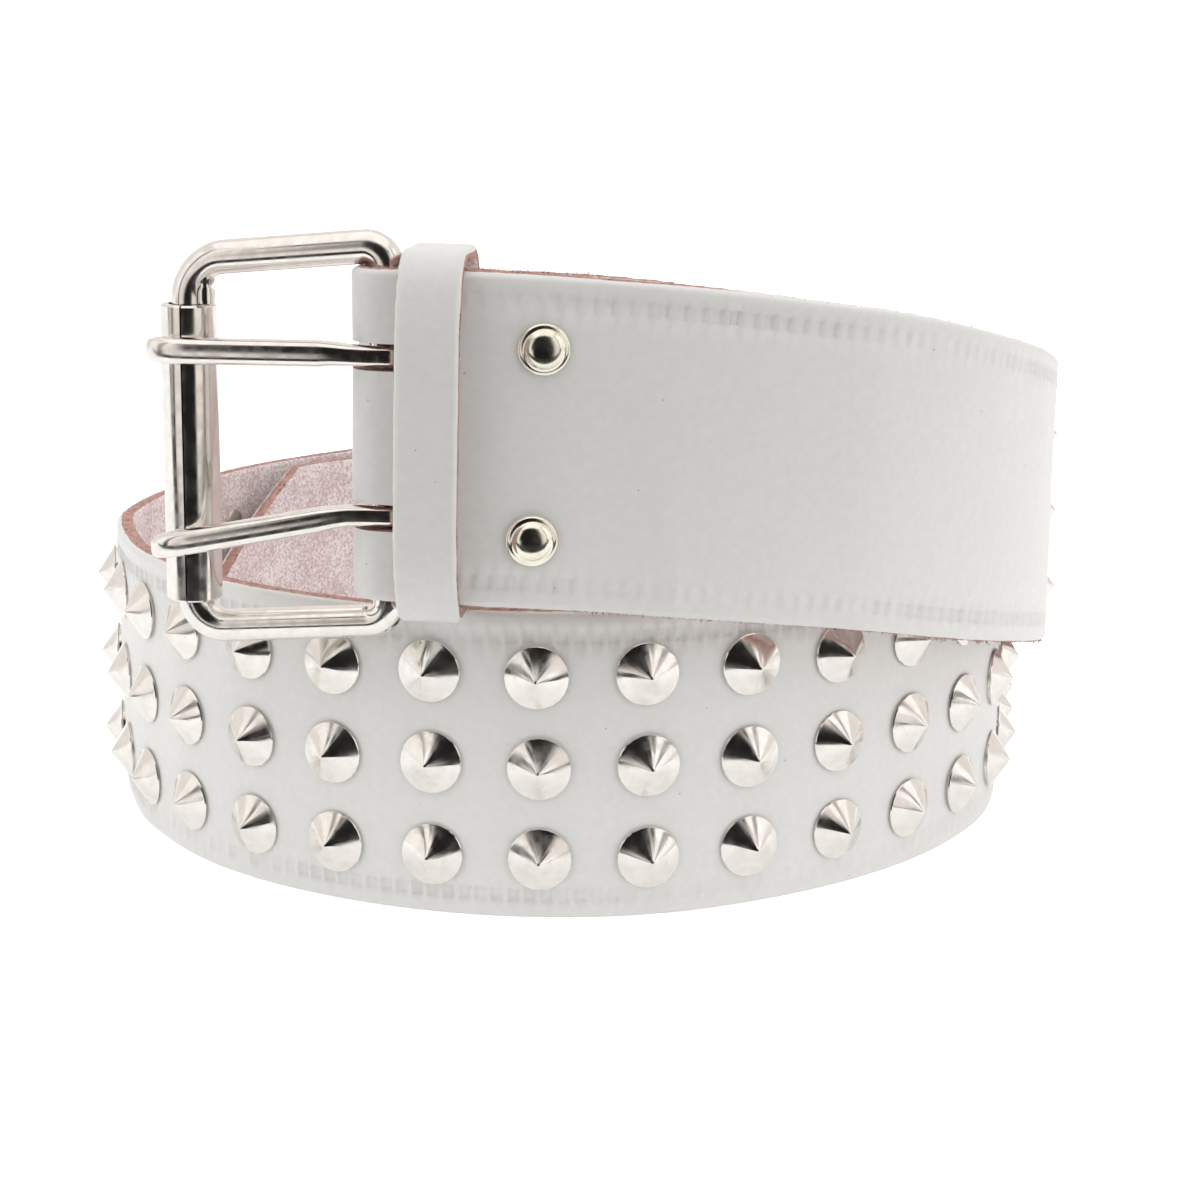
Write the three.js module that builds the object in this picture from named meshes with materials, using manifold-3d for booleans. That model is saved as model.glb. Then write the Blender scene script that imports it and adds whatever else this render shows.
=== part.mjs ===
// A coiled leather belt with three rows of cone studs, a two-prong roller buckle and a keeper.
// Millimetres, +Z up. The coil stands on its lower edge at z = 0; -Y faces the front.
import * as THREE from 'three';
import { mergeVertices } from 'three/addons/utils/BufferGeometryUtils.js';
import Module from 'manifold-3d';

const strapWidth = 50;
const strapThickness = 3.5;
const foldThickness = 2.6;        // the leather is thinned round the bar and where it folds back
const runningGap = 0.3;

const studRadius = 5.1;
const studHeight = 3.7;
const studRim = 0.45;
const studRowPitch = 15;
const studPitch = 17.25;
const studColumns = 37;
const studStart = 201.6;            // from the bar to the first column
const studSides = 10;

const tipLength = 38;
const tipHalfWidth = 3;           // the tip is cut blunt by this much
const holePairs = 5;
const holePitch = 25;
const holeRadius = 2.4;
const firstHole = 58;             // from the end of the tail

const prongPitch = 24.2;          // between the prongs at the bar
const prongSplay = 3.2;           // outward shift of each tip
const wireRadius = 2.6;
const prongHalf = 2.05;
const prongRootHalf = 1.5;        // half its width in the slot
const prongRingHalf = 1.2;        // the prong is flattened where it turns round the bar
const prongReach = 36.5;
const frameHeight = 62.6;
const frameLength = 32;           // bar to roller, centre to centre
const frameSkew = 3;              // the roller's side is bent down by this much
const barBend = 3.4;
const rollerBend = 5.8;
const rollerRadius = 4.3;
const rollerLength = 46;
const rollerDrop = 0.9;           // it has slid down its wire

const rivetAt = 24.1;               // from the bar along the strap
const rivetSpacing = 28.8;
const rivetRadius = 4.05;
const rivetHeight = 2.3;
const rivetPost = 1.6;
const foldEnd = 43;
const keeperAt = 8.3;
const keeperWidth = 9.4;
const keeperWall = 2.4;
const keeperFront = 4.2;          // room between the strap and the keeper's front wall
const keeperSlack = 0.65;         // above and below the strap
const keeperDepthSlack = 1.2;     // behind the folded end
const keeperRise = 0.3;           // it rests on the lower loop's edge, so it sits a little high
const keeperTall = strapWidth + 2 * (keeperWall + keeperSlack);
const buckleDrop = 0.8;           // the buckle hangs a little low in the fold

const layerSlack = 1;
// one layer of the coil to the next, grain side to grain side
const layerPitch = strapThickness + studHeight + layerSlack;

// plan of the inner layer's grain side: its radius every 30 degrees from +X, as shares of coilRadius
const coilRadius = 85;
const coreShare = [0.918, 1.071, 1.053, 0.953, 0.92, 0.919, 0.947, 1.041, 1.048, 1.033, 0.972, 0.936];

// course of the strap, buckle to tail; the height is a share of the strap's width
const course = [
  // turn, layers outward, middle height
  [-122, 1.40, 1.570],
  [-108, 1.30, 1.566],
  [-102, 1.15, 1.561],
  [-96, 1.00, 1.552],
  [-90, 0.82, 1.536],
  [-80, 0.80, 1.502],
  [-70, 0.92, 1.456],
  [-60, 1.08, 1.406],
  [-45, 1.10, 1.304],
  [-30, 1.04, 1.204],
  [-10, 1.00, 1.072],
  [20, 1.00, 0.864],
  [60, 1.00, 0.632],
  [90, 1.00, 0.532],
  [120, 1.00, 0.5],
  [180, 1.00, 0.5],
  [200, 0.30, 0.5],
  [215, 0, 0.5],
  [545, 0, 0.5],
];

const barTurn = -108.7;
const tailTurn = 532;

const wasm = await Module();
wasm.setup();

function solid(geometry) {
  const bare = geometry.index ? geometry.toNonIndexed() : geometry.clone();
  for (const name of Object.keys(bare.attributes)) if (name !== 'position') bare.deleteAttribute(name);
  const merged = mergeVertices(bare, 1e-4);
  return new wasm.Manifold(new wasm.Mesh({
    numProp: 3,
    vertProperties: new Float32Array(merged.attributes.position.array),
    triVerts: new Uint32Array(merged.index.array),
  }));
}

function surface(body) {
  const mesh = body.getMesh();
  const geometry = new THREE.BufferGeometry();
  geometry.setAttribute('position', new THREE.BufferAttribute(mesh.vertProperties, 3));
  geometry.setIndex(new THREE.BufferAttribute(mesh.triVerts, 1));
  return geometry;
}

// a closed body through rings of equal count, with flat ends or joined end to end
function loft(rings, joined = false) {
  const count = rings[0].length;
  const points = rings.flat();
  const index = [];
  const last = joined ? rings.length : rings.length - 1;
  for (let i = 0; i < last; i++) {
    const a = i * count;
    const b = ((i + 1) % rings.length) * count;
    for (let j = 0; j < count; j++) {
      const k = (j + 1) % count;
      index.push(a + j, a + k, b + k, a + j, b + k, b + j);
    }
  }
  if (!joined) {
    const end = (rings.length - 1) * count;
    for (let j = 1; j < count - 1; j++) {
      index.push(0, j + 1, j);
      index.push(end, end + j, end + j + 1);
    }
  }
  const geometry = new THREE.BufferGeometry().setFromPoints(points);
  geometry.setIndex(index);
  return geometry;
}

// periodic smooth reading of the core plan
function coreAt(turn) {
  const place = (((turn % 360) + 360) % 360) / 30;
  const i = Math.floor(place);
  const t = place - i;
  const r = [-1, 0, 1, 2].map((k) => coilRadius * coreShare[(i + k + 12) % 12]);
  return 0.5 * (2 * r[1] + (r[2] - r[0]) * t + (2 * r[0] - 5 * r[1] + 4 * r[2] - r[3]) * t * t
    + (3 * r[1] - r[0] - 3 * r[2] + r[3]) * t * t * t);
}

function courseAt(turn, column) {
  let i = 0;
  while (i < course.length - 2 && turn > course[i + 1][0]) i++;
  const [a, b] = [course[i], course[i + 1]];
  const slope = (k) => {
    if (k < 1 || k > course.length - 2) return 0;
    const before = (course[k][column] - course[k - 1][column]) / (course[k][0] - course[k - 1][0]);
    const after = (course[k + 1][column] - course[k][column]) / (course[k + 1][0] - course[k][0]);
    return before * after <= 0 ? 0 : 2 * before * after / (before + after);
  };
  const span = b[0] - a[0];
  const t = Math.min(Math.max((turn - a[0]) / span, 0), 1);
  const [t2, t3] = [t * t, t * t * t];
  return (2 * t3 - 3 * t2 + 1) * a[column] + (t3 - 2 * t2 + t) * span * slope(i)
    + (3 * t2 - 2 * t3) * b[column] + (t3 - t2) * span * slope(i + 1);
}

// the grain side's middle line as one curve
const startTurn = course[0][0];
const endTurn = course[course.length - 1][0];
const line = [];
for (let turn = startTurn; turn <= endTurn + 1e-6; turn += (endTurn - startTurn) / 100) {
  const radius = coreAt(turn) + layerPitch * courseAt(turn, 1);
  const angle = turn * Math.PI / 180;
  line.push(new THREE.Vector3(radius * Math.cos(angle), radius * Math.sin(angle),
    strapWidth * courseAt(turn, 2)));
}
const path = new THREE.CatmullRomCurve3(line, false, 'centripetal');
path.arcLengthDivisions = 2000;
const pathLength = path.getLength();

function lengthAtTurn(turn) {
  const u = (turn - startTurn) / (endTurn - startTurn);
  const lengths = path.getLengths();
  const place = u * (lengths.length - 1);
  const i = Math.min(Math.floor(place), lengths.length - 2);
  return lengths[i] + (lengths[i + 1] - lengths[i]) * (place - i);
}
const barAt = lengthAtTurn(barTurn);
const strapLength = lengthAtTurn(tailTurn) - barAt;

// place on the strap: s runs from the bar, out is the grain side, up lies across the width
function station(s) {
  const u = (s + barAt) / pathLength;
  const point = path.getPointAt(u);
  const along = path.getTangentAt(u).normalize();
  const out = new THREE.Vector3().crossVectors(along, new THREE.Vector3(0, 0, 1)).normalize();
  const up = new THREE.Vector3().crossVectors(out, along).normalize();
  return { point, along, out, up };
}

const at = (place, along, out, up) => place.point.clone()
  .addScaledVector(place.along, along).addScaledVector(place.out, out).addScaledVector(place.up, up);

function ring(place, shift, grain, flesh, half) {
  return [at(place, shift, grain, half), at(place, shift, grain, -half),
    at(place, shift, flesh, -half), at(place, shift, flesh, half)];
}

// The folded end and the strap.
const half = strapWidth / 2;
const bar = station(0);
const barDepth = foldThickness + runningGap + wireRadius;
const barHole = wireRadius + runningGap;
const rings = [];
const backGrain = strapThickness + runningGap + foldThickness;
const openGrain = barDepth + barHole + foldThickness;
const flat = 5.9;                 // half the length of a flat facet
const keeperEnd = keeperAt + keeperWidth / 2 + 0.7;
for (const s of [foldEnd, rivetAt + flat, rivetAt - flat, keeperEnd]) {
  rings.push(ring(station(s), 0, -backGrain, -strapThickness - runningGap, half));
}
rings.push(ring(station(10.5), 0, -backGrain - 0.8, -backGrain - 0.8 + foldThickness, half));
rings.push(ring(station(6), 0, -backGrain - 2.6, -backGrain - 2.6 + foldThickness, half));
rings.push(ring(station(2.5), 0, -openGrain + 0.5, -openGrain + 0.5 + foldThickness, half));
const foldSteps = 8;
for (let i = 0; i <= foldSteps; i++) {
  const angle = Math.PI * i / foldSteps;
  const outer = barHole + foldThickness;
  const place = (radius) => [-Math.sin(angle) * radius, -barDepth - Math.cos(angle) * radius];
  const [g, f] = [place(outer), place(barHole)];
  rings.push([at(bar, g[0], g[1], half), at(bar, g[0], g[1], -half),
    at(bar, f[0], f[1], -half), at(bar, f[0], f[1], half)]);
}
rings.push(ring(station(4), 0, 0, -foldThickness, half));   // full thickness again under the keeper
const stops = [keeperEnd, rivetAt - flat, rivetAt + flat, foldEnd];
for (let s = foldEnd + 10.5; s < studStart - 9; s += 10.5) stops.push(s);
for (let i = 0; i < studColumns; i++) {
  const s = studStart + i * studPitch;
  stops.push(s - flat, s + flat);
}
const plainFrom = studStart + studColumns * studPitch - 8;
for (let s = plainFrom + 6; s < strapLength - tipLength - 4; s += 10) stops.push(s);
for (const s of stops) rings.push(ring(station(s), 0, 0, -strapThickness, half));
for (const [back, width] of [[tipLength, half], [tipLength * 0.5, half * 0.54], [4, half * 0.17],
  [0.6, tipHalfWidth * 0.6]]) {
  rings.push(ring(station(strapLength - back), 0, 0, -strapThickness, width));
}
const strapSolid = solid(loft(rings));

// flat place for a stud: the middle of the facet between the two stops
function facet(s) {
  const [a, b] = [station(s - flat), station(s + flat)];
  const point = a.point.clone().add(b.point).multiplyScalar(0.5);
  const along = b.point.clone().sub(a.point).normalize();
  const up = a.up.clone().add(b.up);
  const out = new THREE.Vector3().crossVectors(along, up).normalize();
  return { point, along, out, up: new THREE.Vector3().crossVectors(out, along) };
}

// a turned body, its axis along out
function turned(profile, sides, place, along, out, up) {
  const geometry = new THREE.LatheGeometry(profile.map(([r, h]) => new THREE.Vector2(r, h)), sides);
  const basis = new THREE.Matrix4().makeBasis(place.up, place.out, place.along);
  basis.setPosition(at(place, along, out, up));
  return geometry.applyMatrix4(basis);
}

const studProfile = [[0, -0.7], [studRadius, -0.7], [studRadius, studRim], [0, studHeight]];
const studs = [];
for (let i = 0; i < studColumns; i++) {
  const place = facet(studStart + i * studPitch);
  for (let row = -1; row <= 1; row++) {
    studs.push(solid(turned(studProfile, studSides, place, 0, 0, row * studRowPitch)));
  }
}

const cuts = [];
const box = (place, along, out, up, size) => {
  const geometry = new THREE.BoxGeometry(...size);
  const basis = new THREE.Matrix4().makeBasis(place.out, place.along, place.up);
  basis.setPosition(at(place, along, out, up));
  return solid(geometry.applyMatrix4(basis));
};
const slotTall = prongRootHalf * 2 + 1.1;
const slotLong = 15.2;            // round the fold, through both layers
const slotDeep = 15;
const cutThrough = 12;            // past the flesh side
for (const side of [-1, 1]) {
  cuts.push(box(bar, -slotLong / 11, -barDepth, side * prongPitch / 2, [slotDeep, slotLong, slotTall]));
  cuts.push(solid(turned([[0, -cutThrough], [rivetPost + runningGap, -cutThrough], [rivetPost + runningGap, 3], [0, 3]],
    10, facet(rivetAt), 0, 0, side * rivetSpacing / 2)));
  for (let i = 0; i < holePairs; i++) {
    cuts.push(solid(turned([[0, -6], [holeRadius, -6], [holeRadius, 3], [0, 3]], 8,
      station(strapLength - firstHole - i * holePitch), 0, 0, side * prongPitch / 2)));
  }
}
const strapBody = wasm.Manifold.union([strapSolid, ...studs]).subtract(wasm.Manifold.union(cuts));

// Keeper: a band round both layers, its walls square to the strap
const keeperPlace = station(keeperAt);
const keeperDeep = keeperFront + openGrain + keeperDepthSlack + keeperWall * 2;
const keeperMiddle = keeperFront + keeperWall - keeperDeep / 2;
const keeperRings = [];
const keeperCorners = [
  // out, up, first angle, corner's depth, corner's height: the front is bowed, the back square
  [1, 1, 0, 7.4, 16],
  [-1, 1, 90, 4.4, 4.4],
  [-1, -1, 180, 4.4, 4.4],
  [1, -1, 270, 7.4, 16],
];
for (const [cx, cz, from, cornerDeep, cornerTall] of keeperCorners) {
  for (let i = 0; i <= 5; i++) {
    const angle = (from + i * 18) * Math.PI / 180;
    const place = (inset) => [
      keeperMiddle + cx * (keeperDeep / 2 - cornerDeep) + (cornerDeep - inset) * Math.cos(angle),
      keeperRise + cz * (keeperTall / 2 - cornerTall) + (cornerTall - inset) * Math.sin(angle),
    ];
    const [o, n] = [place(0), place(keeperWall)];
    const w = keeperWidth / 2;
    keeperRings.push([at(keeperPlace, w, n[0], n[1]), at(keeperPlace, -w, n[0], n[1]),
      at(keeperPlace, -w, o[0], o[1]), at(keeperPlace, w, o[0], o[1])]);
  }
}

// Buckle, in a group of its own: x along the frame toward the roller, y out, z up the bar
const buckle = new THREE.Group();
const buckleTurn = new THREE.Matrix4().makeBasis(
  bar.along.clone().negate(), bar.out, bar.up);
buckle.applyMatrix4(buckleTurn.setPosition(at(bar, 0, -barDepth, -buckleDrop)));

function circle(radius, sides) {
  const shape = new THREE.Shape();
  for (let i = 0; i < sides; i++) {
    const angle = (i + 0.5) * 2 * Math.PI / sides;
    const point = [radius * Math.cos(angle), radius * Math.sin(angle)];
    if (i === 0) shape.moveTo(...point); else shape.lineTo(...point);
  }
  shape.closePath();
  return shape;
}

// the frame is one bent wire whose ends meet, a little apart, inside the roller
const framePath = new THREE.CurvePath();
const tall = frameHeight / 2 - wireRadius;
const v = (x, z) => new THREE.Vector3(x, 0, z);
const bends = [
  // corner x, corner z, bend radius
  [frameLength, tall, rollerBend],
  [0, tall, barBend],
  [0, -tall, barBend],
  [frameLength, -tall, rollerBend],
];
let last = v(frameLength, 0.4);
bends.forEach(([x, z, radius], i) => {
  const corner = v(x, z);
  const next = i < 3 ? v(bends[i + 1][0], bends[i + 1][1]) : v(frameLength, -0.4);
  const from = corner.clone().addScaledVector(last.clone().sub(corner).normalize(), radius);
  const to = corner.clone().addScaledVector(next.clone().sub(corner).normalize(), radius);
  framePath.add(new THREE.LineCurve3(last, from));
  const arc = [];
  for (let k = 0; k <= 5; k++) {
    const angle = k * Math.PI / 10;
    arc.push(from.clone().addScaledVector(corner.clone().sub(from).normalize(), radius * Math.sin(angle))
      .addScaledVector(to.clone().sub(corner).normalize(), radius * (1 - Math.cos(angle))));
  }
  for (let k = 0; k < 5; k++) framePath.add(new THREE.LineCurve3(arc[k], arc[k + 1]));
  last = to;
});
framePath.add(new THREE.LineCurve3(last, v(frameLength, -0.4)));
// clear of the fold, the sides slant down to the roller
const foldReach = barHole + foldThickness + runningGap;
const skewed = (point) => point.setZ(point.z
  - frameSkew * Math.max(point.x - foldReach, 0) / (frameLength - foldReach));
const framePoints = [framePath.curves[0].v1, ...framePath.curves.map((c) => c.v2)]
  .map((point) => skewed(point.clone()));

// round section carried through the points of a flat wire
function wire(points, normal, sides, across, deep) {
  return loft(points.map((point, i) => {
    const before = points[Math.max(i - 1, 0)];
    const after = points[Math.min(i + 1, points.length - 1)];
    const along = after.clone().sub(before).normalize();
    const into = new THREE.Vector3().crossVectors(normal, along).normalize();
    const level = new THREE.Vector3().crossVectors(along, into).normalize();
    return Array.from({ length: sides }, (_, k) => {
      const angle = -(k + 0.5) * 2 * Math.PI / sides;
      return point.clone().addScaledVector(level, across(i) * Math.cos(angle))
        .addScaledVector(into, deep(i) * Math.sin(angle));
    });
  }));
}

const frameWire = wire(framePoints, new THREE.Vector3(0, 1, 0), 12, () => wireRadius, () => wireRadius);

const rollerBore = wireRadius + runningGap;
const rollerGeometry = new THREE.LatheGeometry([
  [rollerBore, -rollerLength / 2], [rollerRadius, -rollerLength / 2],
  [rollerRadius, rollerLength / 2], [rollerBore, rollerLength / 2], [rollerBore, -rollerLength / 2],
].map(([r, h]) => new THREE.Vector2(r, h)), 20).rotateX(Math.PI / 2);

// a prong turns round the bar and runs out in front of the roller
function prong(side) {
  const level = side * prongPitch / 2 + buckleDrop;
  const turn = wireRadius + runningGap + prongRingHalf;
  const points = [];
  const flat = [];
  for (let angle = 262; angle >= 0; angle -= 26.2) {
    const a = angle * Math.PI / 180;
    points.push(new THREE.Vector3(-Math.sin(a) * turn, Math.cos(a) * turn, level));
    flat.push(1);
  }
  const rest = rollerRadius + prongHalf + runningGap;
  for (const t of [0.16, 0.4, 0.7, 0.9, 1]) {
    const x = prongReach * t;
    points.push(skewed(new THREE.Vector3(x, turn + (rest - turn) * x / frameLength,
      level + side * prongSplay * Math.max(x - 4, 0) / (prongReach - 4))));
    flat.push(t < 0.2 ? 0.3 : t > 0.95 ? 0.25 : 0);
  }
  const section = (i) => prongHalf + (prongRingHalf - prongHalf) * flat[i];
  const width = (i) => (flat[i] === 1 ? prongRootHalf : flat[i] === 0.3 ? 0.5 * (prongRootHalf + prongHalf)
    : flat[i] === 0.25 ? 0.8 * prongHalf : prongHalf);
  return wire(points, new THREE.Vector3(0, 0, 1), 10, width, section);
}

// Rivets: a domed cap, a post through both layers and a flat back
const rivetProfile = [
  [0, -backGrain - 1.3], [3.6, -backGrain - 1.3], [3.6, -backGrain - 0.2], [rivetPost, -backGrain - 0.2],
  [rivetPost, 0.2], [rivetRadius, 0.2], [rivetRadius, 0.8], [rivetRadius * 0.8, 1.7],
  [rivetRadius * 0.45, rivetHeight - 0.1], [0, rivetHeight],
];

const leather = new THREE.MeshStandardMaterial({ color: 0xdcdbd6, roughness: 0.45, metalness: 0 });
const nickel = new THREE.MeshStandardMaterial({ color: 0xc9c3ba, roughness: 0.2, metalness: 1 });
const paleNickel = new THREE.MeshStandardMaterial({ color: 0xcfc7ae, roughness: 0.2, metalness: 1 });

function piece(name, geometry, material, parent) {
  geometry.computeVertexNormals();
  const mesh = new THREE.Mesh(geometry, material);
  mesh.name = name;
  parent.add(mesh);
  return mesh;
}

const belt = new THREE.Group();
piece('studded_strap', surface(strapBody), leather, belt);
piece('keeper_loop', loft(keeperRings, true), leather.clone(), belt);
for (const [name, side] of [['rivet_upper', 1], ['rivet_lower', -1]]) {
  piece(name, turned(rivetProfile, 12, facet(rivetAt), 0, 0, side * rivetSpacing / 2),
    paleNickel.clone(), belt);
}
piece('buckle_frame', frameWire, nickel, buckle);
piece('roller', rollerGeometry, nickel.clone(), buckle).position.set(frameLength, 0, -frameSkew - rollerDrop);
piece('prong_upper', prong(1), nickel.clone(), buckle);
piece('prong_lower', prong(-1), nickel.clone(), buckle);
belt.add(buckle);

belt.updateMatrixWorld(true);
const bounds = new THREE.Box3().setFromObject(belt, true);
const middle = bounds.getCenter(new THREE.Vector3());
belt.position.set(-middle.x, -middle.y, -bounds.min.z);

export default belt;
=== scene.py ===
import bisect
import math

import bmesh
import bpy
from mathutils import Matrix, Vector, noise


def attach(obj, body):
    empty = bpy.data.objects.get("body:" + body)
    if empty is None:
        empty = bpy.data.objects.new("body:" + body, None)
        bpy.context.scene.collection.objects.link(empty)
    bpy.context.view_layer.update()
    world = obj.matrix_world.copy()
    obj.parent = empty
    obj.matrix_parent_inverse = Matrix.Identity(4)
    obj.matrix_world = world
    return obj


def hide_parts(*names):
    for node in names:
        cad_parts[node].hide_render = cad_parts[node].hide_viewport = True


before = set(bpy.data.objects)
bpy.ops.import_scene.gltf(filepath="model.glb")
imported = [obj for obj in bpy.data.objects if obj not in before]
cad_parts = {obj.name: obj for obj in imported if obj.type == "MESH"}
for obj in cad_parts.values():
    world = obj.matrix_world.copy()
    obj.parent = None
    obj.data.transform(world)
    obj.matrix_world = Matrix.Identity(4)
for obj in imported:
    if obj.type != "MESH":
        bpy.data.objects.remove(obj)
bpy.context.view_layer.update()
mm = 0.001

# camera and light

view = {"height": 134.6, "back": 441.10, "side": -0.77, "down": 12.99, "lens": 71.36}


def makeCamera():
    camera = bpy.data.objects.new("camera", bpy.data.cameras.new("camera"))
    camera.data.lens = view["lens"]
    camera.data.sensor_width = 36
    camera.data.clip_start = 0.01
    camera.location = Vector((view["side"], -view["back"], view["height"])) * mm
    camera.rotation_euler = (math.radians(90 - view["down"]), 0, 0)
    bpy.context.scene.collection.objects.link(camera)
    bpy.context.scene.camera = camera


lamps = {
    # place, size, power
    "above": ((0.0, -0.15, 0.95), 1.3, 1.6),
    "left": ((-0.95, -0.35, 0.45), 0.9, 0.5),
    "right": ((0.95, -0.35, 0.5), 0.9, 0.9),
}


def makeLight():
    for name, (place, size, power) in lamps.items():
        light = bpy.data.lights.new(name, "AREA")
        light.size = size
        light.energy = power
        lamp = bpy.data.objects.new(light.name, light)
        lamp.location = place
        aim = Vector((0, 0, 0.05)) - Vector(place)
        lamp.rotation_euler = aim.to_track_quat("-Z", "Y").to_euler()
        bpy.context.scene.collection.objects.link(lamp)


surround = {
    "white": 1.0, "glossWhite": 0.93, "dark": 0.015, "softDark": 0.45, "backdrop": 1.1,
    "colour": (1.0, 0.995, 0.985), "glossColour": (1.0, 0.945, 0.905),
    # azimuth from the front, elevation, half width, half height, in degrees
    "openings": [
        (-2, 22, 33, 30), (4, -5, 27, 25), (38, 38, 5, 6), (-40, 38, 4, 6), (-62, 15, 5, 30), (66, 20, 5, 30),
    ],
}


def makeSurround():   # a white tent with dark gaps toward the camera, as the metal shows
    world = bpy.data.worlds.new("tent")
    bpy.context.scene.world = world
    world.use_nodes = True
    nodes, links = world.node_tree.nodes, world.node_tree.links
    nodes.clear()
    out = nodes.new("ShaderNodeOutputWorld")
    back = nodes.new("ShaderNodeBackground")
    where = nodes.new("ShaderNodeTexCoord")
    parts = nodes.new("ShaderNodeSeparateXYZ")
    links.new(where.outputs["Generated"], parts.inputs[0])

    def calc(kind, a, b=None, clamp=False):
        node = nodes.new("ShaderNodeMath")
        node.operation = kind
        node.use_clamp = clamp
        for place, value in enumerate((a, b)):
            if value is None:
                continue
            if isinstance(value, (int, float)):
                node.inputs[place].default_value = value
            else:
                links.new(value, node.inputs[place])
        return node.outputs[0]

    forward = calc("MULTIPLY", parts.outputs["Y"], -1.0)
    azimuth = calc("ARCTAN2", parts.outputs["X"], forward)
    elevation = calc("ARCSINE", parts.outputs["Z"])
    shade = None
    for az, el, wide, tall in surround["openings"]:
        dx = calc("DIVIDE", calc("SUBTRACT", azimuth, math.radians(az)), math.radians(wide))
        dz = calc("DIVIDE", calc("SUBTRACT", elevation, math.radians(el)), math.radians(tall))
        dx, dz = (calc("POWER", calc("ABSOLUTE", d), 4.0) for d in (dx, dz))
        reach = calc("ADD", dx, dz)
        soft = calc("MULTIPLY", calc("SUBTRACT", 1.5, reach), 1.0, True)
        shade = soft if shade is None else calc("MAXIMUM", shade, soft)
    ray = nodes.new("ShaderNodeLightPath")
    # the gaps take less from the leather's even light than from the metal
    eased = calc("MULTIPLY", ray.outputs["Is Diffuse Ray"], surround["dark"] - surround["softDark"])
    depth = calc("ADD", eased, 1 - surround["dark"])
    light = calc("SUBTRACT", 1.0, calc("MULTIPLY", shade, depth))
    tint = nodes.new("ShaderNodeMix")
    tint.data_type = "RGBA"
    tint.inputs["A"].default_value = (*surround["colour"], 1)
    tint.inputs["B"].default_value = (*surround["glossColour"], 1)
    links.new(ray.outputs["Is Glossy Ray"], tint.inputs["Factor"])
    links.new(tint.outputs["Result"], back.inputs["Color"])
    less = calc("MULTIPLY", ray.outputs["Is Glossy Ray"], surround["glossWhite"] - surround["white"])
    glow = calc("MULTIPLY", light, calc("ADD", less, surround["white"]))
    seen = calc("MULTIPLY", ray.outputs["Is Camera Ray"], surround["backdrop"])
    links.new(calc("MAXIMUM", glow, seen), back.inputs["Strength"])
    links.new(back.outputs[0], out.inputs[0])


makeCamera()
makeLight()
makeSurround()
print("camera and light")

# the course of the strap, the same as the solid's

coil = {
    "radius": 85,
    # the core's radius every 30 degrees from +X, as shares of the radius
    "shares": [0.918, 1.071, 1.053, 0.953, 0.92, 0.919, 0.947, 1.041, 1.048, 1.033, 0.972, 0.936],
    # turn, layers outward, middle height as a share of the strap's width
    "course": [
        (-122, 1.40, 1.570), (-108, 1.30, 1.566), (-102, 1.15, 1.561), (-96, 1.00, 1.552),
        (-90, 0.82, 1.536), (-80, 0.80, 1.502), (-70, 0.92, 1.456), (-60, 1.08, 1.406),
        (-45, 1.10, 1.304), (-30, 1.04, 1.204), (-10, 1.00, 1.072), (20, 1.00, 0.864),
        (60, 1.00, 0.632), (90, 1.00, 0.532), (120, 1.00, 0.5), (180, 1.00, 0.5),
        (200, 0.30, 0.5), (215, 0, 0.5), (545, 0, 0.5),
    ],
    "layerPitch": 8.2,
    "spans": 100, "cuts": 50,
    "barTurn": -108.7,
    "tailTurn": 532,
    "shift": (-0.759, 4.417, 0.003),
}

strap = {
    "half": 25.0, "thick": 3.5, "thinned": 2.6, "gap": 0.3, "bar": 2.6,
    "thinTo": 4.0, "fullFrom": 13.7, "foldEnd": 43.0, "tip": 38.0, "tipBlunt": 3.0,
    "prongPitch": 24.2, "slotTall": 4.1, "slotReach": 6.2,
    "holePitch": 25.0, "firstHole": 58.0, "holePairs": 5, "holeRadius": 2.4,
}

stamp = {
    "pitch": 2.66, "inner": 20.2, "outer": 22.05, "wall": 0.35, "from": 9.0,
    # share of the pitch, height: a raised lip, then a sunk floor with a crease
    "shape": [
        (0.0, 0.07), (0.13, -0.27), (0.46, -0.2), (0.6, -0.34), (0.72, -0.17), (0.88, -0.03), (1.0, 0.07),
    ],
}


def coreAt(turn):
    place = (turn % 360) / 30
    i, t = int(place), place - int(place)
    a, b, c, d = (coil["radius"] * coil["shares"][(i + k + 12) % 12] for k in (-1, 0, 1, 2))
    return 0.5 * (2 * b + (c - a) * t + (2 * a - 5 * b + 4 * c - d) * t * t
                  + (3 * b - a - 3 * c + d) * t ** 3)


def courseAt(turn, column):
    rows = coil["course"]
    i = 0
    while i < len(rows) - 2 and turn > rows[i + 1][0]:
        i += 1

    def slope(k):
        if k < 1 or k > len(rows) - 2:
            return 0
        before = (rows[k][column] - rows[k - 1][column]) / (rows[k][0] - rows[k - 1][0])
        after = (rows[k + 1][column] - rows[k][column]) / (rows[k + 1][0] - rows[k][0])
        return 0 if before * after <= 0 else 2 * before * after / (before + after)

    span = rows[i + 1][0] - rows[i][0]
    t = min(max((turn - rows[i][0]) / span, 0), 1)
    return ((2 * t ** 3 - 3 * t ** 2 + 1) * rows[i][column] + (t ** 3 - 2 * t ** 2 + t) * span * slope(i)
            + (3 * t ** 2 - 2 * t ** 3) * rows[i + 1][column] + (t ** 3 - t ** 2) * span * slope(i + 1))


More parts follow.
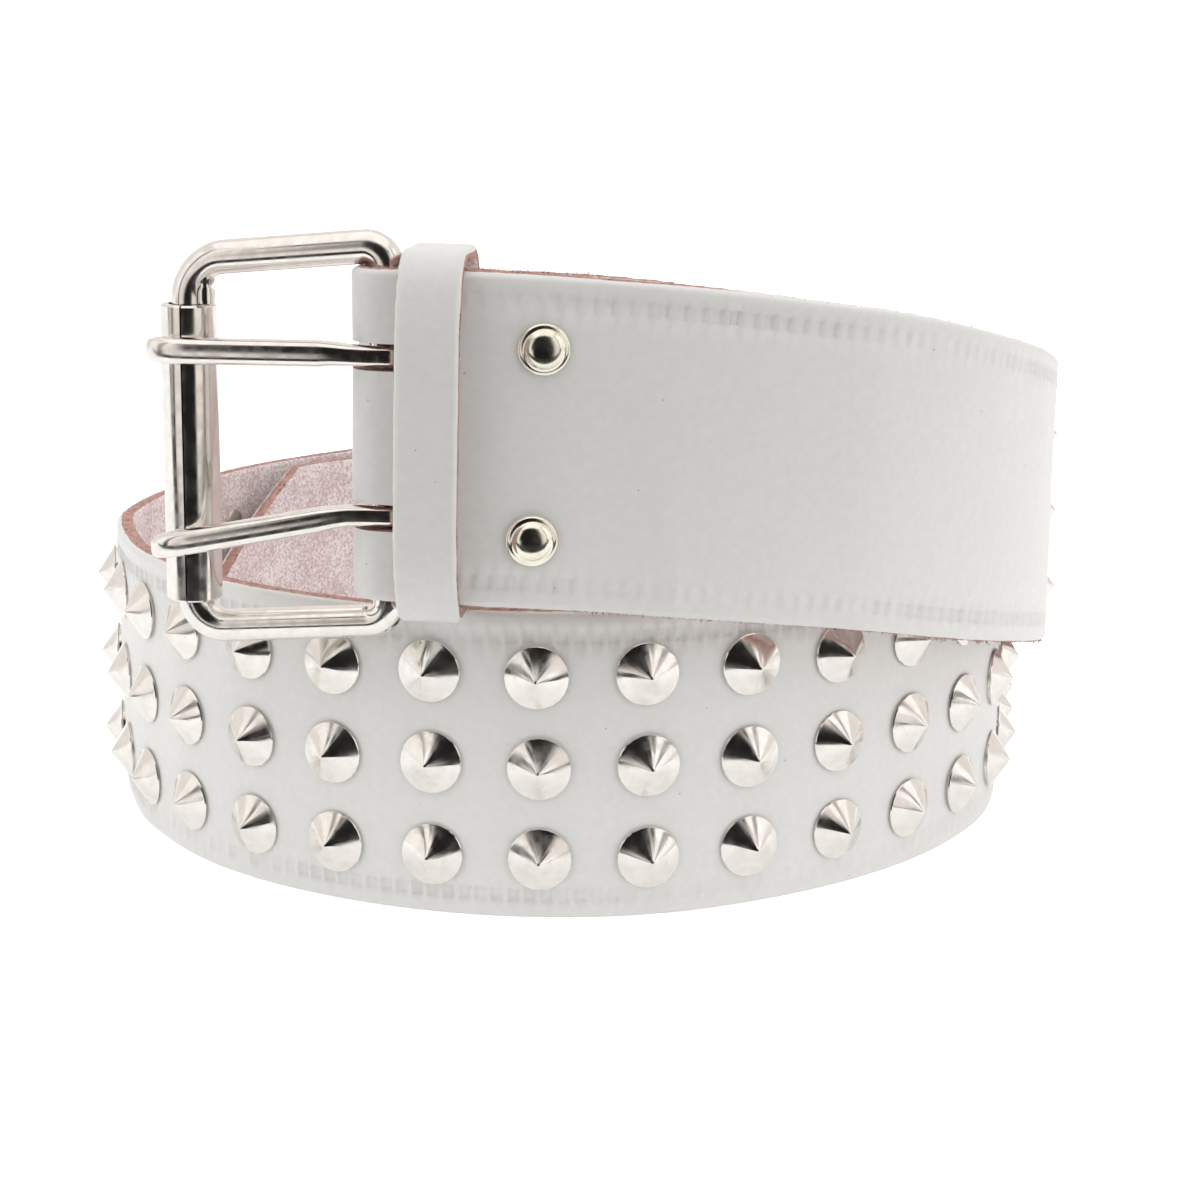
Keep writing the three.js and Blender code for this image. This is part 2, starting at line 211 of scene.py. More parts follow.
def layCourse():   # the solid's spline through evenly turned knots, with fine cuts between them
    first, last = coil["course"][0][0], coil["course"][-1][0]
    knots, points, lengths = [], [], [0.0]
    for i in range(coil["spans"] + 1):
        turn = first + (last - first) * i / coil["spans"]
        radius = coreAt(turn) + coil["layerPitch"] * courseAt(turn, 1)
        angle = math.radians(turn)
        height = 2 * strap["half"] * courseAt(turn, 2)
        knot = Vector((radius * math.cos(angle), radius * math.sin(angle), height))
        knots.append(knot + Vector(coil["shift"]))
    knots = [2 * knots[0] - knots[1]] + knots + [2 * knots[-1] - knots[-2]]
    for p0, p1, p2, p3 in zip(knots, knots[1:], knots[2:], knots[3:]):
        d0, d1, d2 = (math.sqrt((b - a).length) for a, b in ((p0, p1), (p1, p2), (p2, p3)))
        leave = ((p1 - p0) / d0 - (p2 - p0) / (d0 + d1) + (p2 - p1) / d1) * d1
        reach = ((p2 - p1) / d1 - (p3 - p1) / (d1 + d2) + (p3 - p2) / d2) * d1
        for k in range(coil["cuts"]):
            t = k / coil["cuts"]
            points.append(p1 + leave * t + (3 * (p2 - p1) - 2 * leave - reach) * t * t
                          + (2 * (p1 - p2) + leave + reach) * t ** 3)
    points.append(knots[-2])
    for a, b in zip(points, points[1:]):
        lengths.append(lengths[-1] + (b - a).length)
    marks = {}
    for name in ("barTurn", "tailTurn"):
        i, t = divmod((coil[name] - first) / (last - first) * (len(points) - 1), 1)
        marks[name] = lengths[int(i)] * (1 - t) + lengths[int(i) + 1] * t
    return points, lengths, marks


points, lengths, marks = layCourse()
barLength = marks["barTurn"]
strapLength = marks["tailTurn"] - barLength


def courseSpot(length):
    i = min(max(bisect.bisect_right(lengths, length) - 1, 0), len(points) - 2)
    return points[i].lerp(points[i + 1], (length - lengths[i]) / (lengths[i + 1] - lengths[i]))


stations = {}


def station(s):   # point, along, out, up at s millimetres from the bar
    key = round(s, 4)
    if key not in stations:
        length = barLength + s
        along = (courseSpot(length + 0.5) - courseSpot(length - 0.5)).normalized()
        out = along.cross(Vector((0, 0, 1))).normalized()
        stations[key] = (courseSpot(length), along, out, out.cross(along).normalized())
    return stations[key]


def spot(s, along, out, up):
    point, a, o, u = station(s)
    return (point + a * along + o * out + u * up) * mm


def smooth(t):
    t = min(max(t, 0), 1)
    return t * t * (3 - 2 * t)


# small makers

def finishPiece(bm, name, body, materials, angle=35, replaces=()):
    bmesh.ops.recalc_face_normals(bm, faces=bm.faces)
    mesh = bpy.data.meshes.new(name)
    bm.to_mesh(mesh)
    bm.free()
    for material in materials:
        mesh.materials.append(material)
    mesh.shade_smooth()
    mesh.set_sharp_from_angle(angle=math.radians(angle))
    piece = bpy.data.objects.new(name, mesh)
    bpy.context.scene.collection.objects.link(piece)
    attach(piece, body)
    if replaces:
        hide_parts(*replaces)
    print(name, sum(len(f.vertices) - 2 for f in mesh.polygons), "triangles")
    return piece


def flatStrip(runs, rows, leaveOut=None, rimCuts=2):
    # a flat grid with a lower side: x is the run, y the row, z 0 the grain side and 1 the flesh side
    bm = bmesh.new()
    bmesh.ops.create_grid(bm, x_segments=len(runs) - 1, y_segments=len(rows) - 1, size=1)
    for vert in bm.verts:
        i = round((vert.co.x + 1) / 2 * (len(runs) - 1))
        j = round((vert.co.y + 1) / 2 * (len(rows) - 1))
        vert.co = Vector((runs[i], rows[j], 0))
    if leaveOut:
        gone = [f for f in bm.faces if leaveOut(f.calc_center_median())]
        bmesh.ops.delete(bm, geom=gone, context="FACES")
    bmesh.ops.solidify(bm, geom=bm.faces[:], thickness=1)
    flip = -1 if min(v.co.z for v in bm.verts) < -0.5 else 1
    for vert in bm.verts:
        vert.co.z *= flip
    rim = [e for e in bm.edges if abs(e.verts[0].co.z - e.verts[1].co.z) > 0.5]
    bmesh.ops.subdivide_edges(bm, edges=rim, cuts=rimCuts, use_grid_fill=True)
    for face in bm.faces:   # 0 grain, 1 flesh, 2 cut edge
        z = [v.co.z for v in face.verts]
        face.material_index = 0 if max(z) < 0.01 else 1 if min(z) > 0.99 else 2
    return bm


# node groups and materials

def makeGroup(name, inputs, outputs):
    group = bpy.data.node_groups.new(name, "ShaderNodeTree")
    for socket, kind, value in inputs:
        item = group.interface.new_socket(socket, in_out="INPUT", socket_type=kind)
        item.default_value = value
    for socket, kind in outputs:
        group.interface.new_socket(socket, in_out="OUTPUT", socket_type=kind)
    return group, group.nodes.new("NodeGroupInput"), group.nodes.new("NodeGroupOutput")


def makeSpeckle():   # two colours mixed by fine noise over broad clouds
    group, gin, gout = makeGroup("speckle", [
        ("Base", "NodeSocketColor", (0.8, 0.8, 0.8, 1)), ("Spot", "NodeSocketColor", (0.5, 0.5, 0.5, 1)),
        ("Fine", "NodeSocketFloat", 1500), ("Broad", "NodeSocketFloat", 60),
        ("Amount", "NodeSocketFloat", 0.3),
    ], [("Color", "NodeSocketColor"), ("Mask", "NodeSocketFloat")])
    nodes, links = group.nodes, group.links
    where = nodes.new("ShaderNodeTexCoord")
    fine, broad = nodes.new("ShaderNodeTexNoise"), nodes.new("ShaderNodeTexNoise")
    fine.inputs["Detail"].default_value = 4
    broad.inputs["Detail"].default_value = 3
    for texture, scale in ((fine, "Fine"), (broad, "Broad")):
        links.new(where.outputs["Object"], texture.inputs["Vector"])
        links.new(gin.outputs[scale], texture.inputs["Scale"])
    add = nodes.new("ShaderNodeMath")
    add.operation = "MULTIPLY_ADD"
    add.inputs[1].default_value = 0.35
    links.new(broad.outputs["Fac"], add.inputs[0])
    links.new(fine.outputs["Fac"], add.inputs[2])
    ramp = nodes.new("ShaderNodeMapRange")
    ramp.interpolation_type = "SMOOTHSTEP"
    ramp.inputs["From Min"].default_value = 0.5
    ramp.inputs["From Max"].default_value = 0.85
    links.new(add.outputs[0], ramp.inputs["Value"])
    strength = nodes.new("ShaderNodeMath")
    strength.operation = "MULTIPLY"
    links.new(ramp.outputs["Result"], strength.inputs[0])
    links.new(gin.outputs["Amount"], strength.inputs[1])
    mix = nodes.new("ShaderNodeMix")
    mix.data_type = "RGBA"
    links.new(strength.outputs[0], mix.inputs["Factor"])
    links.new(gin.outputs["Base"], mix.inputs["A"])
    links.new(gin.outputs["Spot"], mix.inputs["B"])
    links.new(mix.outputs["Result"], gout.inputs["Color"])
    links.new(ramp.outputs["Result"], gout.inputs["Mask"])
    return group


speckle = makeSpeckle()

finishes = {
    # base, spot, fine, broad, amount, roughness, rough change, bump height mm, bump scale
    "leatherWhite": ((0.80, 0.795, 0.775), (0.73, 0.72, 0.695), 700, 25, 0.35, 0.36, 0.06, 0.02, 1400),
    "fleshSuede": ((0.88, 0.82, 0.81), (0.52, 0.36, 0.36), 1700, 150, 0.8, 0.95, 0.0, 0.18, 1100),
    "rawEdge": ((0.56, 0.335, 0.285), (0.26, 0.12, 0.10), 900, 250, 0.5, 0.9, 0.0, 0.25, 900),
    "nickel": ((0.84, 0.815, 0.775), (0.60, 0.56, 0.52), 500, 90, 0.25, 0.11, 0.10, 0.002, 900),
    "paleNickel": ((0.86, 0.83, 0.73), (0.62, 0.57, 0.46), 500, 90, 0.3, 0.12, 0.10, 0.002, 900),
}

pits = {
    # cells per metre, radius as a share of a cell, share of cells, colour, strength
    "leatherWhite": (250, 0.036, 0.6, (0.34, 0.29, 0.26), 0.75),
    "fleshSuede": (900, 0.25, 0.35, (0.62, 0.40, 0.38), 0.6),
    "rawEdge": (1100, 0.3, 0.6, (0.17, 0.07, 0.055), 0.7),
    "nickel": (830, 0.07, 0.35, (0.30, 0.28, 0.25), 0.8),
    "paleNickel": (830, 0.07, 0.35, (0.30, 0.28, 0.22), 0.8),
}


def makePits():   # small dots scattered in some of the cells
    group, gin, gout = makeGroup("pits", [
        ("Color", "NodeSocketColor", (0.8, 0.8, 0.8, 1)), ("Pit", "NodeSocketColor", (0.3, 0.3, 0.3, 1)),
        ("Scale", "NodeSocketFloat", 250), ("Radius", "NodeSocketFloat", 0.05),
        ("Share", "NodeSocketFloat", 0.5), ("Strength", "NodeSocketFloat", 0.7),
    ], [("Color", "NodeSocketColor"), ("Mask", "NodeSocketFloat")])
    nodes, links = group.nodes, group.links
    where, cells, parts = (nodes.new(kind) for kind in
                           ("ShaderNodeTexCoord", "ShaderNodeTexVoronoi", "ShaderNodeSeparateColor"))
    links.new(where.outputs["Object"], cells.inputs["Vector"])
    links.new(gin.outputs["Scale"], cells.inputs["Scale"])
    links.new(cells.outputs["Color"], parts.inputs[0])
    inside, chosen, both, strength = (nodes.new("ShaderNodeMath") for _ in range(4))
    for node, kind, a, b in ((inside, "LESS_THAN", cells.outputs["Distance"], gin.outputs["Radius"]),
                             (chosen, "LESS_THAN", parts.outputs[0], gin.outputs["Share"]),
                             (both, "MULTIPLY", inside.outputs[0], chosen.outputs[0]),
                             (strength, "MULTIPLY", both.outputs[0], gin.outputs["Strength"])):
        node.operation = kind
        links.new(a, node.inputs[0])
        links.new(b, node.inputs[1])
    mix = nodes.new("ShaderNodeMix")
    mix.data_type = "RGBA"
    links.new(strength.outputs[0], mix.inputs["Factor"])
    links.new(gin.outputs["Color"], mix.inputs["A"])
    links.new(gin.outputs["Pit"], mix.inputs["B"])
    links.new(mix.outputs["Result"], gout.inputs["Color"])
    links.new(both.outputs[0], gout.inputs["Mask"])
    return group


pitted = makePits()


def makeFinish(name, metal=False, coat=0.0, paintedHighlightColour=None):
    base, spotColour, fine, broad, amount, rough, roughChange, height, bumpScale = finishes[name]
    material = bpy.data.materials.new(name)
    material.use_nodes = True
    nodes, links = material.node_tree.nodes, material.node_tree.links
    shader = nodes["Principled BSDF"]
    shader.inputs["Metallic"].default_value = 1.0 if metal else 0.0
    shader.inputs["Coat Weight"].default_value = coat
    shader.inputs["Coat Roughness"].default_value = 0.25
    mix = nodes.new("ShaderNodeGroup")
    mix.node_tree = speckle
    mix.inputs["Base"].default_value = (*base, 1)
    mix.inputs["Spot"].default_value = (*spotColour, 1)
    mix.inputs["Fine"].default_value = fine
    mix.inputs["Broad"].default_value = broad
    mix.inputs["Amount"].default_value = amount
    dots = nodes.new("ShaderNodeGroup")
    dots.node_tree = pitted
    scale, radius, share, pitColour, strength = pits[name]
    dots.inputs["Scale"].default_value = scale
    dots.inputs["Radius"].default_value = radius
    dots.inputs["Share"].default_value = share
    dots.inputs["Pit"].default_value = (*pitColour, 1)
    dots.inputs["Strength"].default_value = strength
    links.new(mix.outputs["Color"], dots.inputs["Color"])
    colour = dots.outputs["Color"]
    if paintedHighlightColour:   # painted highlight, paler where the attribute says so
        highlightMix, highlightShare = nodes.new("ShaderNodeMix"), nodes.new("ShaderNodeAttribute")
        highlightMix.data_type = "RGBA"
        highlightShare.attribute_name = "paintedHighlight"
        highlightMix.inputs["B"].default_value = (*paintedHighlightColour, 1)
        links.new(highlightShare.outputs["Fac"], highlightMix.inputs["Factor"])
        links.new(colour, highlightMix.inputs["A"])
        colour = highlightMix.outputs["Result"]
    links.new(colour, shader.inputs["Base Color"])
    roughness = nodes.new("ShaderNodeMath")
    roughness.operation = "MULTIPLY_ADD"
    roughness.inputs[1].default_value = roughChange
    roughness.inputs[2].default_value = rough
    links.new(mix.outputs["Mask"], roughness.inputs[0])
    links.new(roughness.outputs[0], shader.inputs["Roughness"])
    where = nodes.new("ShaderNodeTexCoord")
    grain = nodes.new("ShaderNodeTexNoise")
    grain.inputs["Scale"].default_value = bumpScale
    grain.inputs["Detail"].default_value = 5
    links.new(where.outputs["Object"], grain.inputs["Vector"])
    bump = nodes.new("ShaderNodeBump")
    bump.inputs["Strength"].default_value = 1.0
    bump.inputs["Distance"].default_value = height * mm
    links.new(grain.outputs["Fac"], bump.inputs["Height"])
    links.new(bump.outputs[0], shader.inputs["Normal"])
    return material


leatherWhite = makeFinish("leatherWhite")
fleshSuede = makeFinish("fleshSuede")
# the cut edge's colour carries a painted highlight on the strap's upper edge
rawEdge = makeFinish("rawEdge", paintedHighlightColour=(0.80, 0.77, 0.72))
nickel = makeFinish("nickel", metal=True)
paleNickel = makeFinish("paleNickel", metal=True)
print("materials")

# the strap

barDepth = strap["thinned"] + strap["gap"] + strap["bar"]
barHole = strap["bar"] + strap["gap"]
backGrain = strap["thick"] + strap["gap"] + strap["thinned"]
openGrain = barDepth + barHole + strap["thinned"]
arcLength = math.pi * (barHole + strap["thinned"])

creases = [
    # from the bar, up, length along, length up, height
    (44.5, -9.5, 2.2, 3.4, 0.35), (48.0, -22.0, 1.6, 3.0, 0.3), (46.5, -17.0, 1.5, 5.0, 0.16),
    (33.0, 6.0, 16.0, 14.0, 0.25), (70.0, -4.0, 18.0, 16.0, 0.2),
]


def softEdge(row, half, radius=0.9):
    over = abs(row) - (half - radius)
    return 0 if over <= 0 else radius - math.sqrt(max(radius * radius - over * over, 0))


def stampAt(run, row):
    a = abs(row)
    if run < stamp["from"] or not stamp["inner"] - 0.1 < a < stamp["outer"] + 0.1:
        return 0
    count, share = divmod(run / stamp["pitch"], 1)
    for (a0, h0), (a1, h1) in zip(stamp["shape"], stamp["shape"][1:]):
        if share <= a1:
            break
    height = h0 + (h1 - h0) * (share - a0) / (a1 - a0)
    each = noise.noise(Vector((count * 1.7, math.copysign(4, row), 0.5)))
    fade = noise.noise(Vector((run * 0.021, math.copysign(9, row), 2.5)))
    return height * max(0.9 + 0.5 * each + 0.9 * fade, 0.15)


def tipHalf(s):   # the tail narrows to a blunt point
    left = strapLength - s
    if left > strap["tip"]:
        return strap["half"]
    t = max(left, 0) / strap["tip"]
    return strap["tipBlunt"] * 0.6 + (strap["half"] - strap["tipBlunt"] * 0.6) * t ** 1.12


def strapPlace(run, row, side):
    t = (run - strap["thinTo"]) / (strap["fullFrom"] - strap["thinTo"])   # thinned round the bar
    thick = strap["thinned"] + (strap["thick"] - strap["thinned"]) * min(max(t, 0), 1)
    wide = 1.0
    s = max(run, 0)
    if s > strapLength - strap["tip"]:
        wide = tipHalf(s) / strap["half"]
    row = row * wide
    half = strap["half"] * wide
    edge = softEdge(row, half)
    cloud = noise.noise(Vector((run * 0.045, row * 0.05, 1.7)))
    grain = -edge + (stampAt(run, row) if abs(row) < half - 2 else 0) + 0.16 * cloud
    for at, up, long, tall, high in creases:
        reach = ((run - at) / long) ** 2 + ((row - up) / tall) ** 2
        if reach < 6:
            grain += high * math.exp(-reach)
    flesh = -thick + edge * 0.5 + 0.1 * noise.noise(Vector((run * 0.4, row * 0.4, 8)))
    depth = grain + (flesh - grain) * side
    up = row
    if abs(row) > half - 0.05:   # the cut edge is uneven and swells a little
        swell = 0.22 * math.sin(math.pi * side) + 0.16 * noise.noise(Vector((run * 0.5, row, side * 2)))
        up += math.copysign(swell, row)
        up += math.copysign(0.3 * noise.noise(Vector((run * 0.03, row, 5))), row)
    if run >= 0:
        return spot(run, 0, depth, up)
    if run > -arcLength:
        angle = math.pi * (1 + run / arcLength)
        radius = barHole + thick + depth
        return spot(0, -math.sin(angle) * radius, -barDepth - math.cos(angle) * radius, up)
    s = -run - arcLength
    near = openGrain + (backGrain - openGrain) * smooth(s / 13.5)
    return spot(s, 0, -near - depth, up)


def holeSpots():
    for pair in range(strap["holePairs"]):
        s = strapLength - strap["firstHole"] - pair * strap["holePitch"]
        for side in (-1, 1):
            yield s, side * strap["prongPitch"] / 2


def strapLeftOut(place):
    run, row = place.x, place.y
    slotRow = abs(abs(row) - strap["prongPitch"] / 2) < strap["slotTall"] / 2
    if slotRow and -arcLength - strap["slotReach"] < run < strap["slotReach"]:
        return True
    tall = strap["slotTall"] / 2 + 0.1
    return any(abs(run - s) < 1.95 and abs(row - up) < tall for s, up in holeSpots())


def thinFlesh(bm, runs, rows):   # the flesh side needs fewer faces
    def extra(edge):
        if any(f.material_index != 1 for f in edge.link_faces):
            return False
        a, b = (v.co for v in edge.verts)
        if abs(a.x - b.x) < 1e-4:
            return round(a.x, 3) not in runs
        return round(a.y, 3) not in rows
    edges = [e for e in bm.edges if e.verts[0].co.z > 0.99 and e.verts[1].co.z > 0.99 and extra(e)]
    bmesh.ops.dissolve_edges(bm, edges=edges, use_verts=True)


def makeStrap():
    pitch = stamp["pitch"]
    first = -arcLength - strap["foldEnd"]
    runs, kept = [first], {round(first, 3)}
    count = math.floor(first / pitch)
    while count * pitch < strapLength:
        for i, (share, _) in enumerate(stamp["shape"][:-1]):
            run = (count + share) * pitch
            if first < run < strapLength - 0.5:
                runs.append(run)
                if i in (0, 3):
                    kept.add(round(run, 3))
        count += 1
    runs.append(strapLength - 0.4)
    for edge in (strap["slotReach"], -arcLength - strap["slotReach"]):
        near = min(range(len(runs)), key=lambda i: abs(runs[i] - edge))
        runs[near] = edge
        kept.add(round(edge, 3))
    slot, tall = strap["prongPitch"] / 2, strap["slotTall"] / 2
    inner = [0, 5, slot - tall, slot, slot + tall, 17.2, stamp["inner"] - stamp["wall"], stamp["inner"],
             stamp["outer"], stamp["outer"] + stamp["wall"], 24.1, 24.6, 24.9, 25]
    rows = [-r for r in reversed(inner[1:])] + inner
    bm = flatStrip(runs, rows, strapLeftOut)
    thinFlesh(bm, kept, {round(s * r, 3) for s in (-1, 1) for r in inner[:6] + inner[8:9] + inner[10:]})
    for vert in bm.verts:   # the holes are pulled round
        for s, up in holeSpots():
            dx, dy = vert.co.x - s, vert.co.y - up
            if abs(dx) < 2.5 and abs(dy) < 2.7 and max(abs(dx) / 2.3, abs(dy) / 2.6) > 0.6:
                far = math.hypot(dx, dy)
                vert.co.x = s + dx / far * strap["holeRadius"]
                vert.co.y = up + dy / far * strap["holeRadius"]
    paintedHighlight = bm.verts.layers.float.new("paintedHighlight")
    for vert in bm.verts:   # the upper cut edge is painted pale along the front run, a painted highlight
        run, row = vert.co.x, vert.co.y
        vert[paintedHighlight] = smooth((run - 46) / 8) * (1 - smooth((run - 190) / 30)) if row > 24 else 0
        vert.co = strapPlace(run, row, vert.co.z)
    finishPiece(bm, "strapLeather", "strap", [leatherWhite, fleshSuede, rawEdge],
                angle=50, replaces=["studded_strap"])


makeStrap()

# studs

studs = {
    "start": 201.6, "pitch": 17.25, "columns": 37, "rowPitch": 15.0, "sides": 24,
    # radius, height
    "profile": [(0.0, 3.66), (0.22, 3.6), (0.5, 3.38), (4.75, 0.6), (5.02, 0.46), (5.12, 0.3),
                (5.0, 0.2), (4.6, 0.12), (4.6, -0.7)],
    "lift": 0.1, "backRadius": 2.5, "backHeight": 0.5, "backSides": 12,
}


def turnedPiece(bm, profile, sides, matrix):   # a profile spun round z, set by matrix
    before = set(bm.verts)
    verts = [bm.verts.new((r * mm, 0, h * mm)) for r, h in profile]
    edges = [bm.edges.new(pair) for pair in zip(verts, verts[1:])]
    bmesh.ops.spin(bm, geom=verts + edges, cent=(0, 0, 0), axis=(0, 0, 1), angle=2 * math.pi,
                   steps=sides, use_merge=True)
    made = [v for v in bm.verts if v not in before]
    bmesh.ops.remove_doubles(bm, verts=made, dist=1e-6)
    made = [v for v in bm.verts if v not in before]
    bmesh.ops.transform(bm, matrix=matrix, verts=made)
    return made


def seat(s, along, out, up, tilt=(0, 0)):
    point, a, o, u = station(s)
    matrix = Matrix((u, a, o)).transposed().to_4x4()
    matrix.translation = (point + a * along + o * out + u * up) * mm
    return matrix @ Matrix.Rotation(tilt[0], 4, "X") @ Matrix.Rotation(tilt[1], 4, "Y")


def makeStuds():
    master = bmesh.new()
    turnedPiece(master, studs["profile"], studs["sides"], Matrix())
    stud = bpy.data.meshes.new("oneStud")
    master.to_mesh(stud)
    master.free()
    master = bmesh.new()
    radius, height = studs["backRadius"], studs["backHeight"]
    profile = [(0, -height), (radius * 0.7, -height), (radius, -height * 0.4), (radius, 0.3)]
    turnedPiece(master, profile, studs["backSides"], Matrix())
    back = bpy.data.meshes.new("oneBack")
    master.to_mesh(back)
    master.free()
    fronts, backs = bmesh.new(), bmesh.new()
    for column in range(studs["columns"]):
        for row in (-1, 0, 1):
            s = studs["start"] + column * studs["pitch"]
            wander = [noise.noise(Vector((column * 3.7, row * 5.3, k * 9.1))) for k in range(4)]
            up = row * studs["rowPitch"] + 0.5 * wander[0]
            for bm, one, out in ((fronts, stud, studs["lift"]), (backs, back, -strap["thick"])):
                before = set(bm.verts)
                bm.from_mesh(one)
                made = [v for v in bm.verts if v not in before]
                tilt = (0.05 * wander[2], 0.05 * wander[3])
                bmesh.ops.transform(bm, verts=made, matrix=seat(s, 0.6 * wander[1], out, up, tilt))
    bpy.data.meshes.remove(stud)
    bpy.data.meshes.remove(back)
    finishPiece(fronts, "coneStuds", "strap", [nickel], angle=28)
    finishPiece(backs, "studBacks", "strap", [nickel], angle=28)


makeStuds()

# keeper

keeper = {
    "at": 8.3, "wide": 9.4, "wall": 2.4, "front": 4.2, "tall": 56.1, "rise": 0.3, "spare": 1.2,
    "frontCorner": (7.4, 16.0), "backCorner": (4.4, 4.4),   # depth and height: the front is bowed
}


def keeperLoop():   # centre and direction of each point of the loop, with the corner's reach
    deep = keeper["front"] + openGrain + keeper["spare"] + keeper["wall"] * 2
    middle = keeper["front"] + keeper["wall"] - deep / 2
    corners = []
    for cx, cz, start in ((1, 1, 0), (-1, 1, 90), (-1, -1, 180), (1, -1, 270)):
        reach = keeper["frontCorner"] if cx > 0 else keeper["backCorner"]
        x, z = middle + cx * (deep / 2 - reach[0]), cz * (keeper["tall"] / 2 - reach[1])
        corners.append((x, z, start, reach))
    loop = []
    for k, (x, z, start, reach) in enumerate(corners):
        for i in range(15):
            angle = math.radians(start + i * 90 / 14)
            loop.append((x, z, math.cos(angle), math.sin(angle), reach))
        nextX, nextZ, nextStart, nextReach = corners[(k + 1) % 4]
        angle = math.radians(start + 90)
        for i in range(1, 7):   # straight walls get a few rows of their own
            t = i / 7
            mixed = (reach[0] + (nextReach[0] - reach[0]) * t, reach[1] + (nextReach[1] - reach[1]) * t)
            wallX, wallZ = x + (nextX - x) * t, z + (nextZ - z) * t
            loop.append((wallX, wallZ, math.cos(angle), math.sin(angle), mixed))
    return loop


def makeKeeper():
    loop = keeperLoop()
    count = len(loop)
    half = keeper["wide"] / 2
    inner = [0, half * 0.4, half - 0.95, half - 0.5, half - 0.1, half]
    bm = flatStrip(list(range(count + 1)), [-r for r in reversed(inner[1:])] + inner)
    ends = [f for f in bm.faces for end in (0, count) if all(abs(v.co.x - end) < 0.01 for v in f.verts)]
    bmesh.ops.delete(bm, geom=ends, context="FACES")   # the loop closes on itself
    for vert in bm.verts:
        x, z, dx, dz, reach = loop[round(vert.co.x) % count]
        turn = round(vert.co.x) % count
        edge = softEdge(vert.co.y, half, 0.8)
        side = vert.co.z
        inset = edge * (1 - side) + (keeper["wall"] - 0.4 * edge) * side
        inset -= 0.12 * noise.noise(Vector((turn * 0.2, vert.co.y * 0.1, 4)))
        along = vert.co.y
        if abs(along) > half - 0.05:
            rough = 0.16 * noise.noise(Vector((turn * 0.9, side * 2, along)))
            along += math.copysign(0.12 * math.sin(math.pi * side) + rough, along)
        vert.co = spot(keeper["at"], along, x + dx * (reach[0] - inset),
                       keeper["rise"] + z + dz * (reach[1] - inset))
    bmesh.ops.remove_doubles(bm, verts=bm.verts, dist=2e-5)
    finishPiece(bm, "keeperLeather", "strap", [leatherWhite, fleshSuede, rawEdge],
                angle=50, replaces=["keeper_loop"])


makeKeeper()

# rivets

rivets = {
    "at": 24.1, "spacing": 28.8,
    "profile": [(0.0, 2.2), (1.1, 2.16), (1.9, 2.02), (2.4, 1.8), (2.75, 1.45), (3.05, 1.12), (3.3, 1.02),
                (3.55, 0.98), (3.8, 0.8), (4.0, 0.45), (4.05, 0.15), (3.8, 0.02),
                (1.6, 0.0), (1.6, -6.5), (3.5, -6.55), (3.7, -6.9), (3.4, -7.5), (0.0, -7.6)],
}


def makeRivets():
    for name, side in (("rivetUpper", 1), ("rivetLower", -1)):
        bm = bmesh.new()
        turnedPiece(bm, rivets["profile"], 40, seat(rivets["at"], 0, 0.1, side * rivets["spacing"] / 2))
        finishPiece(bm, name, "strap", [paleNickel], angle=50,
                    replaces=["rivet_upper" if side > 0 else "rivet_lower"])


makeRivets()

# buckle, drawn in its own axes: x toward the roller, y out, z up the bar

buckle = {
    "drop": 0.8, "long": 32.0, "tall": 62.6, "wire": 2.6, "barBend": 3.4, "rollerBend": 5.8,
    "skew": 3.0, "skewFrom": 5.8,   # clear of the fold, the sides slant down to the roller
    "rollerRadius": 4.3, "rollerLong": 46.0, "rollerWall": 1.2, "rollerDrop": 0.9, "seam": 97,
    "prong": 2.05, "prongRoot": 1.5, "prongRing": 1.2, "prongReach": 36.5, "prongSplay": 3.2,
}


def buckleMatrix():
    point, along, out, up = station(0)
    matrix = Matrix((-along, out, up)).transposed().to_4x4()
    matrix.translation = (point - out * barDepth - up * buckle["drop"]) * mm
    return matrix


def slant(x):
    return buckle["skew"] * max(x - buckle["skewFrom"], 0) / (buckle["long"] - buckle["skewFrom"])


def startWire(bm, place, heading, across, deep, normal, sides, square=1.0):
    quaternion = Matrix((normal, heading.cross(normal), heading)).transposed().to_4x4()
    quaternion.translation = place * mm
    made = bmesh.ops.create_circle(bm, segments=sides, radius=mm, cap_ends=False)["verts"]
    for vert in made:   # below 1 the section has flatter sides
        vert.co.x = math.copysign(abs(vert.co.x / mm) ** square, vert.co.x) * mm
        vert.co.y = math.copysign(abs(vert.co.y / mm) ** square, vert.co.y) * mm
    bmesh.ops.scale(bm, vec=(across, deep, 1), verts=made)
    bmesh.ops.transform(bm, matrix=quaternion, verts=made)
    edges = list({e for v in made for e in v.link_edges})
    bmesh.ops.contextual_create(bm, geom=edges)
    return edges


def runWire(bm, edges, offset, grow=1.0):
    made = bmesh.ops.extrude_edge_only(bm, edges=edges)["geom"]
    verts = [g for g in made if isinstance(g, bmesh.types.BMVert)]
    links = [g for g in made if isinstance(g, bmesh.types.BMEdge)]
    middle = sum((v.co for v in verts), Vector()) / len(verts)
    if grow != 1.0:
        bmesh.ops.scale(bm, vec=(grow, grow, grow), verts=verts, space=Matrix.Translation(-middle))
    bmesh.ops.translate(bm, vec=offset * mm, verts=verts)
    ring = set(verts)
    return [e for e in links if e.verts[0] in ring and e.verts[1] in ring]


def turnWire(bm, edges, centre, axis, angle, steps):
    made = bmesh.ops.spin(bm, geom=edges, cent=centre * mm, axis=axis, angle=angle, steps=steps)
    return [g for g in made["geom_last"] if isinstance(g, bmesh.types.BMEdge)]


def closeWire(bm, edges):
    bmesh.ops.contextual_create(bm, geom=edges)


stub = {
    "inset": 2.9, "radius": 1.5, "tall": 6.2, "clear": 0.15,
    # share of its height, width
    "pinch": [(0.0, 1.0), (0.3, 1.0), (0.42, 0.72), (0.55, 1.02), (0.8, 0.95), (1.0, 0.6)],
}


